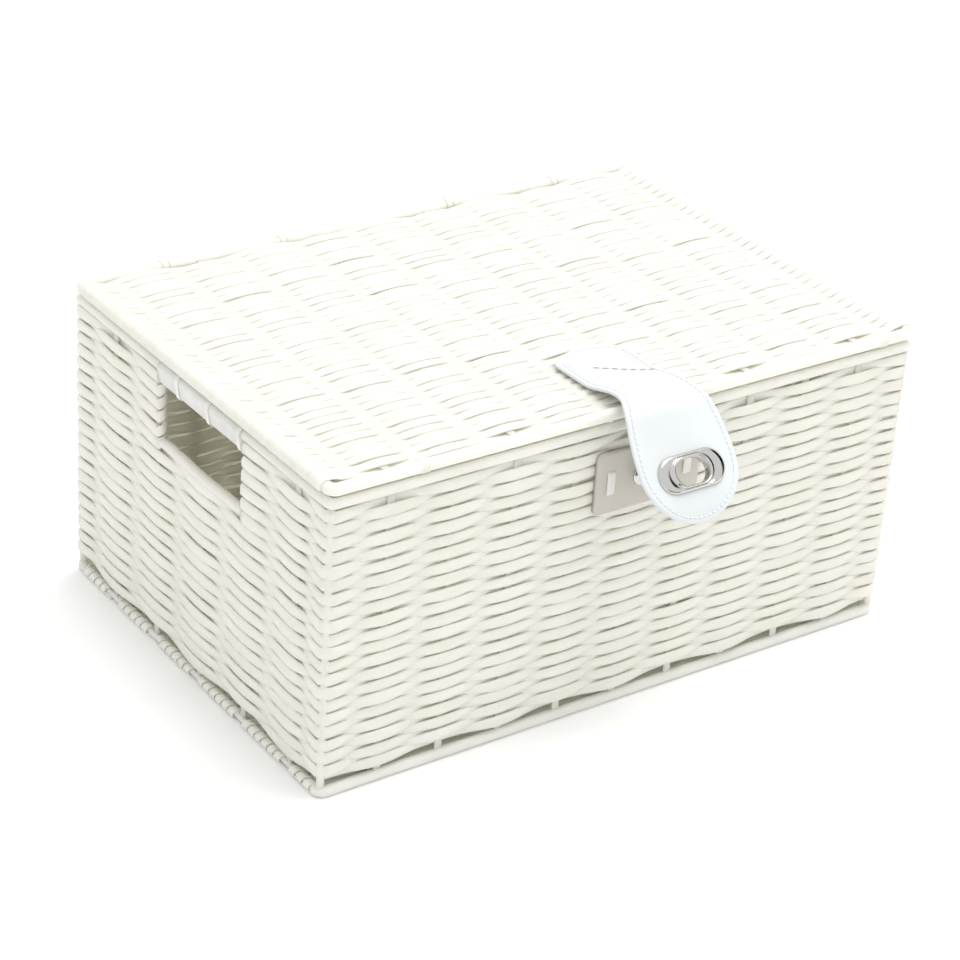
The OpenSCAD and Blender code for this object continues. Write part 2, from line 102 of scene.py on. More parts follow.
# %% Measure the frame
half_l, half_w, trunk_h = lid_high.x, lid_high.y, lid_high.z
rim_low, rim_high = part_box("top_rim")
lid_rim_r = (lid_high.z - lid_low.z) / 2
top_rim_r = (rim_high.z - rim_low.z) / 2
top_rim_z = (rim_high.z + rim_low.z) / 2
lid_rim_z = (lid_high.z + lid_low.z) / 2
wall_low, wall_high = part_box("rear_weave")
side_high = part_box("left_weave")[1]
FOOT_GAP, HEAD_GAP = 0.4 * MM, 0.9 * MM   # the weave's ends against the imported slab's
weave_bottom, weave_top = wall_low.z + FOOT_GAP, wall_high.z + HEAD_GAP
wall_mid = half_w - wall_high.y + (wall_high.y - wall_low.y) / 2
base_low, base_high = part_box("base_ring")
base_rim_r = (base_high.z - base_low.z) / 2
base_rim_z = base_high.z - base_rim_r
STAKE_W, STAKE_T, POST_D = 4.6 * MM, 1.6 * MM, 4.5 * MM
post_inset = half_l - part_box("corner_posts")[1].x + POST_D / 2
LONG_BAYS, SIDE_STAKES = 10, 5
stake_xs = -half_l + np.arange(1, LONG_BAYS) * (2 * half_l / LONG_BAYS)
side_stake_low, side_stake_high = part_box("left_stakes")
side_ys = np.linspace(side_stake_high.y - STAKE_W / 2, side_stake_low.y + STAKE_W / 2, SIDE_STAKES)
ROWS = 40
row_pitch = (weave_top - weave_bottom) / ROWS
hand_row = round((side_high.z - weave_bottom) / row_pitch)
print("rows", ROWS, "of", round(row_pitch / MM, 2), "mm; hand openings start at row", hand_row)

# %% [markdown]
# ## Colour and node helpers
# Finishes are named for what they really are. Their colours are written as the hex values that a paint chart
# would give, and one function turns those into the linear values that the shader works in.

# %% Material helpers
def linear(hex_colour):
    """Linear RGBA from an sRGB hex: each channel is undone with the sRGB curve."""
    channels = np.array([int(hex_colour[i:i + 2], 16) for i in (1, 3, 5)]) / 255
    low = channels / 12.92
    high = ((channels + 0.055) / 1.055) ** 2.4
    return (*np.where(channels <= 0.04045, low, high), 1.0)


def add(tree, kind, settings=None, **links):
    """Adds a shader node, sets its own settings, then its inputs: a socket is linked, else it's a value."""
    node = tree.nodes.new("ShaderNode" + kind)
    for name, value in (settings or {}).items():
        setattr(node, name, value)
    for name, value in links.items():
        socket = node.inputs[int(name[1:]) if name[1:].isdigit() else name.replace("_", " ")]
        if isinstance(value, bpy.types.NodeSocket):
            tree.links.new(value, socket)
        else:
            socket.default_value = value
    return node


def new_material(name):
    """An empty node material with an output node."""
    material = bpy.data.materials.new(name)
    material.use_nodes = True
    material.node_tree.nodes.clear()
    output = material.node_tree.nodes.new("ShaderNodeOutputMaterial")
    return material, material.node_tree, output.inputs["Surface"]


def two_tints(tree, amount, dark, light):
    """A colour that changes from dark to light while the amount goes through its middle third."""
    ramp = add(tree, "ValToRGB", Fac=amount)
    for element, place, tint in zip(ramp.color_ramp.elements, (0.35, 0.65), (dark, light)):
        element.position, element.color = place, linear(tint)
    return ramp.outputs[0]

# %% [markdown]
# ## White resin
# The strands are extruded polypropylene cord: smooth and slightly waxy, white with a drop of cream, which is
# what turns the light warm after a few bounces inside the basket. The plastic is thin, so nearly two fifths
# of the shading lets the light through. Extruding leaves faint lengthwise lines. The sweep below stores a
# straightened coordinate on each strand, so that the lines follow every bend.

# %% Resin finishes
PATCHES_PER_M, LINES_PER_M = (28, 120, 120), (60, 2200, 2200)   # along the cord, then across it
GLOW_COLOUR, GLOW_SHARE = "#fdfcf2", 0.38           # of the light that the plastic lets through


def resin(name, light, dark, roughness, line_depth):
    """Extruded white resin: two near whites in slow patches along the cord, and fine lengthwise lines."""
    material, tree, surface = new_material(name)
    cord = add(tree, "Attribute", {"attribute_name": "cord"}).outputs["Vector"]
    slow = add(tree, "Mapping", Vector=cord, Scale=PATCHES_PER_M)
    patches = add(tree, "TexNoise", Vector=slow.outputs[0], Scale=1.0, Detail=2.0)
    tint = two_tints(tree, patches.outputs["Fac"], dark, light)
    fine = add(tree, "Mapping", Vector=cord, Scale=LINES_PER_M)
    lines = add(tree, "TexNoise", Vector=fine.outputs[0], Scale=1.0, Detail=3.0)
    bump = add(tree, "Bump", Height=lines.outputs["Fac"], Strength=0.5,
               Distance=line_depth)
    shader = add(tree, "BsdfPrincipled", Base_Color=tint, Roughness=roughness,
                 IOR=1.49, Normal=bump.outputs[0])
    glow = add(tree, "BsdfTranslucent", Color=linear(GLOW_COLOUR))
    mixed = add(tree, "MixShader", i0=GLOW_SHARE, i1=shader.outputs[0], i2=glow.outputs[0])
    tree.links.new(mixed.outputs[0], surface)
    return material


strand_resin = resin("extruded_polypropylene_cord", "#fdfcf8", "#f7f6ef", 0.42, 0.12 * MM)
rim_resin = resin("wrapped_wire_rim", "#fdfcf9", "#f7f6f1", 0.36, 0.08 * MM)
stake_resin = resin("flat_polypropylene_strip", "#fbfaf7", "#f3f2ee", 0.45, 0.06 * MM)
band_resin = resin("folded_grip_band", "#f3f4f5", "#e9eaeb", 0.4, 0.05 * MM)
STRAND, RIM = (strand_resin, "resin_strand"), (rim_resin, "resin_rim")
STAKE, BAND = (stake_resin, "resin_stake"), (band_resin, "resin_band")
print("resins:", [material.name for material, _ in (STRAND, RIM, STAKE, BAND)])

# %% [markdown]
# ## Building a mesh from arrays
# Every new piece is a stack of rings. A ring is a loop of points, and neighbouring rings are joined with
# four-sided faces. One function makes the mesh, whatever the rings describe: a cord, a rim or a strap.

# %% Ring meshes
CORD_SHIFT = 0.731   # metres along the pattern from one cord to the next, so that none match


def ring_mesh(name, points, closed=False, cord=None):
    """A mesh object from points of shape (cords, rings, sides, 3).

    Quads join neighbouring rings and sides. A closed cord joins its last ring to its first; an open one gets
    a flat face at each end. Where the enclosed volume, the sum of here . (across x ahead), is negative, the
    sides ran the wrong way round and are reversed.
    """
    cords, rings, sides, _ = points.shape
    ahead_of = np.roll(points, -1, 1) if closed else points[:, 1:]
    here_of = points if closed else points[:, :-1]
    across_of = np.roll(here_of, -1, 2)
    if (here_of * np.cross(across_of, ahead_of)).sum() < 0:
        points = points[:, :, ::-1]
        cord = None if cord is None else cord[:, :, ::-1]
    index = np.arange(cords * rings * sides).reshape(cords, rings, sides)
    here = index if closed else index[:, :-1]
    ahead = np.roll(index, -1, 1) if closed else index[:, 1:]
    quads = np.stack([here, np.roll(here, -1, 2), np.roll(ahead, -1, 2), ahead], -1).reshape(-1, 4)
    caps = np.zeros((0, sides), int)
    if not closed:
        caps = np.concatenate([index[:, 0, ::-1], index[:, -1]])
    corners = np.concatenate([quads.ravel(), caps.ravel()])
    starts = np.concatenate([np.arange(len(quads)) * 4, 4 * len(quads) + np.arange(len(caps)) * sides])
    mesh = bpy.data.meshes.new(name)
    mesh.vertices.add(index.size)
    mesh.vertices.foreach_set("co", points.astype(np.float32).ravel())
    mesh.loops.add(len(corners))
    mesh.loops.foreach_set("vertex_index", corners.astype(np.int32))
    mesh.polygons.add(len(starts))
    mesh.polygons.foreach_set("loop_start", starts.astype(np.int32))
    mesh.update(calc_edges=True)
    mesh.validate()
    smooth = np.ones(len(mesh.polygons), bool)
    smooth[len(quads):] = False
    mesh.polygons.foreach_set("use_smooth", smooth)
    if cord is not None:
        layer = mesh.attributes.new("cord", "FLOAT_VECTOR", "POINT")
        layer.data.foreach_set("vector", cord.astype(np.float32).ravel())
    piece = bpy.data.objects.new(name, mesh)
    bpy.context.scene.collection.objects.link(piece)
    return piece


def dress(piece, body, finish, *nodes):
    """Gives a piece its body and its finish's material, and hides the CAD nodes that it stands for."""
    material, slot = finish
    piece.data.materials.append(material)
    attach(piece, body)
    if nodes:
        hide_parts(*nodes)
    return piece


def spread_out(*coordinates):
    """Coordinate arrays that broadcast together, as one array of points."""
    return np.stack(np.broadcast_arrays(*coordinates), -1)


def unit(v):
    """Vectors of length one, along the last axis."""
    return v / np.maximum(np.linalg.norm(v, axis=-1, keepdims=True), 1e-12)


def sweep(name, path, wide, thick, up=(0, 0, 1), sides=10, closed=False, box=1.0, floor=None):
    """Cords with an oval section carried along paths of shape (cords, rings, 3).

    The section's long way follows `up` less its part along the path, and its short way is square to both.
    The section is cos and sin of an even sweep of angles, raised to the power `box`: 1 gives an oval and
    smaller values a flat strip with rounded edges. wide and thick are the full sizes. The stored "cord"
    coordinate is distance along, then the place in the section. Nothing goes below the height `floor`.
    """
    path = np.asarray(path, float)
    cords, rings, _ = path.shape
    if closed:
        along = unit(np.roll(path, -1, 1) - np.roll(path, 1, 1))
    else:
        along = unit(np.gradient(path, axis=1))
    up = np.broadcast_to(np.asarray(up, float), path.shape)
    tall = unit(up - (up * along).sum(-1, keepdims=True) * along)
    flat = np.cross(tall, along)
    angle = 2 * np.pi * (np.arange(sides) + 0.5) / sides
    c = np.sign(np.cos(angle)) * np.abs(np.cos(angle)) ** box
    s = np.sign(np.sin(angle)) * np.abs(np.sin(angle)) ** box
    wide = np.broadcast_to(wide, (cords, rings))[..., None, None]
    thick = np.broadcast_to(thick, (cords, rings))[..., None, None]
    across, over = thick / 2 * c[:, None], wide / 2 * s[:, None]
    points = path[:, :, None] + across * flat[:, :, None] + over * tall[:, :, None]
    if floor is not None:
        points[..., 2] = np.maximum(points[..., 2], floor)
    step = np.linalg.norm(np.diff(path, axis=1, prepend=path[:, :1]), axis=-1)
    run = np.cumsum(step, 1) + np.arange(cords)[:, None] * CORD_SHIFT
    run = np.broadcast_to(run[..., None, None], points.shape[:3] + (1,))
    cord = np.concatenate([run, np.broadcast_to(across, points.shape[:3] + (1,)),
                           np.broadcast_to(over, points.shape[:3] + (1,))], -1)
    return ring_mesh(name, points, closed, cord)

# %% [markdown]
# ## The line that the walls follow
# All four walls are one band that turns round four corner posts, so the strands are drawn on one closed line:
# a rectangle with rounded corners, measured from the left end of the front. A strand is then only three
# numbers at each place: how far along, how far out, and how high.

# %% Wall line
POST_R = (post_inset - wall_mid) / (1 - math.sqrt(0.5))   # this corner radius passes through the posts
line_l, line_w = half_l - wall_mid, half_w - wall_mid
quarter = POST_R * math.pi / 2
front_len, end_len = 2 * (line_l - POST_R), 2 * (line_w - POST_R)
line_total = 2 * front_len + 2 * end_len + 4 * quarter


def loop_table(length, width, radius, steps=24):
    """Distances, points and headings round a rounded rectangle, anticlockwise from the front's left end.

    A corner's points are its centre plus radius times the outward direction, as the heading turns 90 degrees.
    """
    turn = np.linspace(0, np.pi / 2, steps)
    heading = np.concatenate([turn + k * np.pi / 2 for k in range(4)])
    centres = np.array([[1, -1], [1, 1], [-1, 1], [-1, -1]]) * (length - radius, width - radius)
    centre = np.repeat(centres, steps, axis=0)
    points = centre + radius * np.stack([np.sin(heading), -np.cos(heading)], 1)
    points = np.vstack([points[-1], points])
    heading = np.concatenate([[0], heading])
    distance = np.concatenate([[0], np.cumsum(np.linalg.norm(np.diff(points, axis=0), axis=1))])
    return distance, points, heading


wall_table = loop_table(line_l, line_w, POST_R)


def on_wall(s, out, z, table=wall_table):
    """3-D points at distance s along the wall line, `out` outside it and z high."""
    distance, points, heading = table
    s = np.mod(s, distance[-1])
    x, y, h = (np.interp(s, distance, v) for v in (points[:, 0], points[:, 1], heading))
    return spread_out(x + out * np.sin(h), y - out * np.cos(h), z)


front_stops = stake_xs + line_l - POST_R
right_stops = front_len + quarter + side_ys[::-1] + line_w - POST_R
rear_stops = front_len + end_len + 2 * quarter + stake_xs + line_l - POST_R
left_stops = 2 * front_len + end_len + 3 * quarter + (line_w - POST_R) - side_ys
post_stops = np.array([front_len, front_len + end_len + quarter,
                       2 * front_len + end_len + 2 * quarter, line_total - quarter]) + quarter / 2
stops = np.sort(np.concatenate([front_stops, right_stops, rear_stops, left_stops, post_stops]))
print("stakes and posts round the wall:", len(stops), "line", round(line_total, 3), "m")

# %% [markdown]
# ## Weaving
# A strand lies in front of one stake and behind the next, and the next row up does the opposite. Where two
# strands cross between stakes they are squeezed to the row's height, and in front of a stake they spread
# wider. Hands made it, so each strand also gets its own small errors at each stake.

# %% Strands of the walls
WAVE = 2.05 * MM   # from the wall's middle to a strand's middle, in front of a stake
STRAND_T = 2.5 * MM
STRAND_BOX = 0.85   # the `box` of a strand's section: an oval, a little square
STEPS_PER_BAY = 12


def smooth(t):
    """The smooth step 3t^2 - 2t^3, which leaves 0 and reaches 1 level."""
    return t * t * (3 - 2 * t)


def eased(values, phase):
    """Values given at whole phases, carried between them by a smooth step."""
    k = np.floor(phase).astype(int)
    t = smooth(phase - k)
    first = np.take_along_axis(values, np.mod(k, values.shape[1]), 1)
    second = np.take_along_axis(values, np.mod(k + 1, values.shape[1]), 1)
    return first * (1 - t) + second * t


def plain_weave(phase, rows, loose, low, pitch, wave, strand_t, slack, drift, narrow, spread):
    """Out, place, width and thickness of strands, where phase counts the stakes that they pass.

    Out is wave times a cosine with one half wave per bay, reversed in every other row. The width is pitch
    times `narrow` between stakes and `spread` more in front of one, where the strand is also thinner. loose
    holds each strand's own errors, which slack scales for the wave and drift for the place.
    """
    swing = np.cos(np.pi * (phase + rows[:, None]))
    front = np.abs(swing)
    out = swing * wave * (1 + slack * eased(loose[0], phase))
    place = low + (rows[:, None] + 0.5) * pitch + drift * eased(loose[1], phase)
    wide = pitch * (narrow + spread * front ** 1.5 + 0.1 * eased(loose[2], phase))
    thick = strand_t * (1.12 - 0.14 * front)
    return out, place, wide, thick


def woven_rows(s, rows):
    """Out, height, width and thickness of wall strands at distances s for the given rows, as arrays."""
    count = len(stops)
    laps = np.floor(s / line_total)
    ring = np.concatenate([[stops[-1] - line_total], stops, [stops[0] + line_total]])
    phase = np.interp(s - laps * line_total, ring, np.arange(-1, count + 1)) + laps * count
    phase = np.broadcast_to(phase, (len(rows), s.size))
    seeds = np.random.default_rng(101)
    loose = seeds.normal(0, 1, (3, ROWS, count))[:, rows]
    return plain_weave(phase, rows, loose, weave_bottom, row_pitch, WAVE, STRAND_T, slack=0.1,
                       drift=0.3 * MM, narrow=1.42, spread=0.45)


def wall_band(name, rows, *nodes):
    """Whole rings of strands: every row goes right round the trunk and closes on itself."""
    steps = STEPS_PER_BAY * len(stops)
    s = np.arange(steps) * line_total / steps
    out, height, wide, thick = woven_rows(s, rows)
    path = on_wall(np.broadcast_to(s, out.shape), out, height)
    piece = sweep(name, path, wide, thick, closed=True, box=STRAND_BOX)
    return dress(piece, "basket", STRAND, *nodes)


thirds = np.array_split(np.arange(hand_row), 3)
lower_walls = [wall_band(f"wall_strands_{part + 1}", rows, "front_weave", "rear_weave", "left_weave",
                         "right_weave") for part, rows in enumerate(thirds)]
print("closed rows:", hand_row, "faces:", sum(len(p.data.polygons) for p in lower_walls))

# %% [markdown]
# ## Rows beside the hand openings
# Higher up, a row can't go right round. It turns back round the last stake before the opening and returns as
# the next row, so the whole zone is one long strand. The turn is a half circle from the front of the stake to
# its back, while the strand climbs one row.

# %% Serpentine rows
JAMB = STAKE_W / 2 + 0.9 * MM   # from the last stake's middle to the start of the turn
TURN_STEPS = 8
TURN_WIDE, TURN_THICK = 0.8, 0.9  # shares of a strand's width and thickness that are left in the turn


def serpentine(name, start, end, *nodes):
    """One strand that runs from start to end along the wall and back again for every row of the zone."""
    rows = np.arange(hand_row, ROWS)
    steps = int((end - start) / (line_total / (STEPS_PER_BAY * len(stops))))
    s = np.linspace(start - JAMB, end + JAMB, steps)
    out, height, wide, thick = woven_rows(s, rows)
    keep = np.clip(np.arange(steps), np.argmin(np.abs(s - start)), np.argmin(np.abs(s - end)))
    out, height, wide = out[:, keep], height[:, keep], wide[:, keep]
    flip = (np.arange(len(rows)) % 2 == 1)[:, None]
    line = np.where(flip, s[::-1], s)
    out, height, wide, thick = (np.where(flip, v[:, ::-1], v) for v in (out, height, wide, thick))
    bend = np.linspace(0, 1, TURN_STEPS + 1)[1:-1]
    reach = np.where(flip, -1, 1) * np.abs(out[:, -1:]) * np.sin(np.pi * bend)
    next_out, next_height = np.roll(out, -1, 0)[:, :1], np.roll(height, -1, 0)[:, :1]
    half = (out[:, -1:] + next_out) / 2
    turn_s = line[:, -1:] + reach
    turn_out = half + (out[:, -1:] - half) * np.cos(np.pi * bend)
    turn_height = height[:, -1:] * (1 - bend) + next_height * bend
    turn_wide = np.broadcast_to(wide[:, -1:] * TURN_WIDE, turn_s.shape)
    turn_thick = np.broadcast_to(thick[:, -1:] * TURN_THICK, turn_s.shape)
    joined = [np.concatenate(pair, 1).ravel()[:-len(bend)][None] for pair in (
        (line, turn_s), (out, turn_out), (height, turn_height), (wide, turn_wide), (thick, turn_thick))]
    path = on_wall(*joined[:3])
    piece = sweep(name, path, joined[3], joined[4], box=STRAND_BOX)
    return dress(piece, "basket", STRAND, *nodes)


front_zone = serpentine("front_zone_strand", left_stops[3] - line_total, right_stops[1],
                        "left_weave_ends", "right_weave_ends")
rear_zone = serpentine("rear_zone_strand", right_stops[3], left_stops[1], "left_weave_ends")
print("serpentines:", [len(p.data.polygons) for p in (front_zone, rear_zone)])

# %% [markdown]
# ## Stakes and posts
# A stake is a flat strip and a corner post is a round rod. Both are straight, so they need few rings.

# %% Upright stakes
STRIP_BOX = 0.45   # the `box` of a strip's section: flat, with rounded edges
MIDDLE = SIDE_STAKES // 2   # the stake of each end that stops under the hand opening


def uprights(name, at, high, *nodes, wide=STAKE_W, thick=STAKE_T, box=STRIP_BOX):
    """Straight bars standing at distances `at` along the wall line, from the base wire's middle to high."""
    height = np.linspace(base_rim_z, high, 12)
    s = np.repeat(np.asarray(at)[:, None], len(height), 1)
    path = on_wall(s, 0 * s, np.broadcast_to(height, s.shape))
    ahead = on_wall(s + 0.5 * MM, 0 * s, path[..., 2]) - on_wall(s - 0.5 * MM, 0 * s, path[..., 2])
    piece = sweep(name, path, wide, thick, up=unit(ahead), box=box)
    return dress(piece, "basket", STAKE, *nodes)


head = top_rim_z - 1 * MM
for side, at in (("front", front_stops), ("rear", rear_stops)):
    uprights(f"{side}_stake_strips", at, head, f"{side}_stakes")
for side, at in (("left", left_stops), ("right", right_stops)):
    uprights(f"{side}_stake_strips", np.delete(at, MIDDLE), head, f"{side}_stakes")
    uprights(f"{side}_middle_strip", at[MIDDLE:MIDDLE + 1], side_high.z)
uprights("corner_rods", post_stops, head, "corner_posts", wide=POST_D, thick=POST_D, box=1.0)
print("stakes:", len(stops))

# %% [markdown]
# ## Rims
# The rims are steel wire with a smooth resin cover. They run round the trunk's plan and turn its corners on
# a much tighter bend than the walls. A perfectly even tube looks like plumbing, so its thickness and height
# wander by a few tenths of a millimetre.

# %% Rim tubes
RIM_BEND = 0.5 * MM   # how much wider than its own radius a rim's middle line turns


def rim(name, z, radius, body, nodes, wander=0.12 * MM):
    """A closed tube round the plan at height z, with slow waves in its place and thickness."""
    table = loop_table(half_l - radius, half_w - radius, radius + RIM_BEND)
    s = np.unique(np.concatenate([np.linspace(0, table[0][-1], 360), table[0]]))[:-1]
    around = 2 * np.pi * s / table[0][-1]
    waves = sum(np.sin(k * around + p) / k for k, p in ((7, 0.4), (13, 2.1), (29, 4.0)))
    path = on_wall(s, wander * 0.6 * waves, z + wander * np.roll(waves, 40), table)[None]
    piece = sweep(name, path, 2 * radius + wander * waves, 2 * radius + wander * waves, sides=20, closed=True)
    return dress(piece, body, RIM, *nodes)


basket_rim = rim("basket_rim_cover", top_rim_z, top_rim_r, "basket", ("top_rim",))
lid_rim = rim("lid_rim_cover", lid_rim_z, lid_rim_r, "lid", ("lid_rim",))
print("rims:", basket_rim.name, lid_rim.name)

# %% [markdown]
# ## The lid
# The lid is woven like a wall, but lying down: its stakes run from front to rear and its strands from end to
# end. It has its own count of rows. At both ends every strand goes over the rim and down its outside. The
# trunk's floor is a panel of the same kind, whose strands end at the base wire.

# %% Lid strands
WRAP = 9   # points on the round that a strand makes over a rim
WRAP_FROM, WRAP_TO = 112, -25   # degrees round the rim, counted up from the outward level
CLIMB = 9 * MM   # the length in which a strand rises from the panel to the rim's top
FLATTENED = 0.45   # the share of its thickness that it loses there
PAST_END = 5 * MM   # from its end to where the next stake would be
PANEL_ROWS = 70


def panel(name, low, high, z, wave, strand_t, body, node, seed, reach, over=None):
    """Strands along X that pass over and under the stakes. Rows fill low to high along Y.

    They run on to x = reach. If `over` gives a rim's middle (x, z) and a radius, each strand then climbs to
    the rim's top by a smooth step and follows the rim's round down its outside.
    """
    pitch = (high - low) / PANEL_ROWS
    marks = np.concatenate([[-reach - PAST_END], stake_xs, [reach + PAST_END]])
    x = np.linspace(-reach, reach, STEPS_PER_BAY * LONG_BAYS + 1)
    phase = np.broadcast_to(np.interp(x, marks, np.arange(len(marks))), (PANEL_ROWS, len(x)))
    seeds = np.random.default_rng(seed)
    loose = seeds.normal(0, 1, (3, PANEL_ROWS, len(marks)))
    rise, y, wide, thick = plain_weave(phase, np.arange(PANEL_ROWS), loose, low, pitch, wave, strand_t,
                                       slack=0.08, drift=0.35 * MM, narrow=1.52, spread=0.48)
    height = z + rise
    if over:
        middle_x, middle_z, radius = over
        climb = smooth(np.clip((np.abs(x) - reach + CLIMB) / CLIMB, 0, 1))
        height = height * (1 - climb) + (middle_z + 0.9 * radius) * climb
        bend = np.radians(np.linspace(WRAP_FROM, WRAP_TO, WRAP))
        side_x, side_z = middle_x + radius * np.cos(bend), middle_z + radius * np.sin(bend)
        x = np.concatenate([-side_x[::-1], x, side_x])
        height = np.hstack([np.tile(side_z[::-1], (PANEL_ROWS, 1)), height, np.tile(side_z, (PANEL_ROWS, 1))])
        y, wide, thick = (np.pad(v, ((0, 0), (WRAP, WRAP)), "edge") for v in (y, wide, thick))
        thick = thick * (1 - FLATTENED * np.pad(climb, WRAP, constant_values=1))
    path = spread_out(x, y, height)
    piece = sweep(name, path, wide, thick, up=(0, 1, 0), box=STRAND_BOX, floor=0)
    return dress(piece, body, STRAND, node)


lid_panel_low, lid_panel_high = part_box("lid_weave")
lid_z = (lid_panel_low.z + lid_panel_high.z) / 2
lid_strands = panel("lid_strands", lid_panel_low.y, lid_panel_high.y, lid_z, wave=1.65 * MM,
                    strand_t=2.2 * MM, body="lid", node="lid_weave", seed=211,
                    reach=half_l - 2 * lid_rim_r + 0.4 * MM,
                    over=(half_l - lid_rim_r, lid_rim_z, lid_rim_r + 0.5 * MM))
base_panel_low, base_panel_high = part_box("base_weave")
base_z = (base_panel_low.z + base_panel_high.z) / 2
base_strands = panel("base_strands", base_panel_low.y, base_panel_high.y, base_z, wave=1.2 * MM,
                     strand_t=1.8 * MM, body="basket", node="base_weave", seed=223,
                     reach=half_l - 2 * base_rim_r)


def flat_stakes(name, node, z, body):
    """Flat strips from the front rim to the rear rim, one at each stake place."""
    low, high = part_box(node)
    y = np.linspace(low.y, high.y, 24)
    path = spread_out(stake_xs[:, None], y, z)
    piece = sweep(name, path, STAKE_W, STAKE_T, up=(1, 0, 0), box=STRIP_BOX)
    return dress(piece, body, STAKE, node)


flat_stakes("lid_stake_strips", "lid_stakes", lid_z, "lid")
flat_stakes("base_stake_strips", "base_stakes", base_z, "basket")
print("panels:", len(lid_strands.data.polygons), len(base_strands.data.polygons))

# %% [markdown]
# ## The base
# A wire frame carries the floor. Its front and rear are covered like the rims. At the ends the wire is bare
# and strands are wound round it: each bay between two stakes has a few slanting turns, with dark gaps. A turn
# is a helix, so its angle grows evenly with the distance along the wire.

# %% Base wire and its windings
bare_low, bare_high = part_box("base_end_wraps")
WIRE_R, BASE_BEND = 1.7 * MM, 4.25 * MM   # the bare wire, and the bend of the frame's middle line
END_ZONE, TAPER = 9 * MM, 2 * MM   # the ends' depth, and the length in which the cover stops
base_table = loop_table(half_l - base_rim_r, half_w - base_rim_r, BASE_BEND)
base_s = np.unique(np.concatenate([np.linspace(0, base_table[0][-1], 480), base_table[0]]))[:-1]
base_path = on_wall(base_s, 0 * base_s, base_rim_z, base_table)[None]
inward = np.clip((bare_high.y - np.abs(base_path[..., 1])) / TAPER, 0, 1)
at_end = np.abs(base_path[..., 0]) > half_l - END_ZONE
base_width = 2 * (base_rim_r + (WIRE_R - base_rim_r) * inward * at_end)
base_tube = sweep("base_rim_cover", base_path, base_width, base_width, sides=20, closed=True, floor=0)
dress(base_tube, "basket", RIM, "base_ring")

TURN_PITCH, TURN_W, TURN_T = 7.6 * MM, 5.4 * MM, 1.5 * MM
bay_ends = np.concatenate([[bare_high.y], np.repeat(side_ys, 2), [bare_low.y]]).reshape(-1, 2)
clear = STAKE_W / 2 + 0.4 * MM   # the windings stop this far from a stake's middle
bay_ends[1:, 0] -= clear
bay_ends[:-1, 1] += clear


def helix(centre_x, z, start, end, radius, turns, lead, steps):
    """A helix round an axis along Y: angle = lead + 2 pi turns t, and y goes evenly from start to end."""
    t = np.linspace(0, 1, steps)
    angle = lead + 2 * np.pi * turns * t
    x, height = centre_x + radius * np.cos(angle), z + radius * np.sin(angle)
    return spread_out(x, start + (end - start) * t, height)


for side in (-1, 1):
    turns = [max(2, round((a - b) / TURN_PITCH)) for a, b in bay_ends]
    paths = [helix(side * (half_l - base_rim_r), base_rim_z, a - TURN_W / 2, b + TURN_W / 2,
                   WIRE_R + TURN_T / 2, turns=side * (n - 0.4), lead=1.1 + 0.7 * k, steps=200)
             for k, ((a, b), n) in enumerate(zip(bay_ends, turns))]
    winding = sweep(f"base_windings_{'left' if side < 0 else 'right'}", np.array(paths), TURN_W, TURN_T,
                    up=(0, 1, 0), sides=10, box=0.7, floor=0)
    dress(winding, "basket", STRAND, "base_end_wraps")
print("base: bays on each end", len(bay_ends), "turns", turns)

# %% [markdown]
# ## The hand openings
# A covered wire bar closes the bottom of each opening. Over it a flat band is folded round the basket's rim,
# and three narrow loops tie it. The band's section is the outline of two round ends joined by straight sides:
# a large one round the rim and a small one at the hem.

# %% Bars, grip bands and ties
BAND_LIFT, TIE_LIFT = 0.6 * MM, 0.95 * MM   # from the rim's surface to the middle of a band or a tie
HALF_TIE = 2 * MM


def capsule(x, top, top_r, low, low_r, count=20):
    """Points (x, z) of two half circles of different radius joined by straight sides, anticlockwise."""
    turn = np.linspace(0, np.pi, count)
    upper = np.stack([x + top_r * np.cos(turn), top + top_r * np.sin(turn)], -1)
    lower = np.stack([x - low_r * np.cos(turn), low - low_r * np.sin(turn)], -1)
    return np.concatenate([upper, lower])


def repeat_at(outline, places):
    """The outline (x, z) at each place along Y, as 3-D points of shape (places, outline, 3)."""
    return spread_out(outline[:, 0], places[:, None], outline[:, 1])


rim_x = half_l - top_rim_r
for side, word in ((-1, "left"), (1, "right")):
    bar_low, bar_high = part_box(f"{word}_hand_bar")
    y = np.linspace(bar_low.y, bar_high.y, 40)
    bar_x, bar_z = (bar_low.x + bar_high.x) / 2, (bar_low.z + bar_high.z) / 2
    bar_d = bar_high.z - bar_low.z
    sag = 0.2 * MM * np.sin(y * 90 + side)
    path = spread_out(bar_x + sag, y, bar_z + sag)[None]
    bar = sweep(f"{word}_bar_cover", path, bar_d, bar_d, sides=18)
    dress(bar, "basket", RIM, f"{word}_hand_bar")

    grip_box_low, grip_box_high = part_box(f"{word}_grip")
    hem_r = (grip_box_high.x - grip_box_low.x) / 2 - 0.3 * MM
    outline = capsule(side * rim_x, top_rim_z, top_rim_r + BAND_LIFT, grip_box_low.z + hem_r, hem_r)
    points = repeat_at(outline, np.linspace(grip_box_low.y, grip_box_high.y, 30))[None]
    cord = points * (0.3, 1, 1)
    dress(ring_mesh(f"{word}_grip_band", points, False, cord), "basket", BAND,
          f"{word}_grip")

    tie_low, tie_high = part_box(f"{word}_grip_ties")
    tie_ys = np.linspace(tie_low.y + HALF_TIE, tie_high.y - HALF_TIE, 3)
    outline = capsule(side * rim_x, top_rim_z, top_rim_r + TIE_LIFT, grip_box_low.z + hem_r,
                      hem_r + 0.5 * MM)
    ties = sweep(f"{word}_tie_loops", repeat_at(outline, tie_ys), wide=3.6 * MM, thick=0.8 * MM,
                 up=(0, 1, 0), closed=True, box=0.7)
    dress(ties, "basket", STRAND, f"{word}_grip_ties")
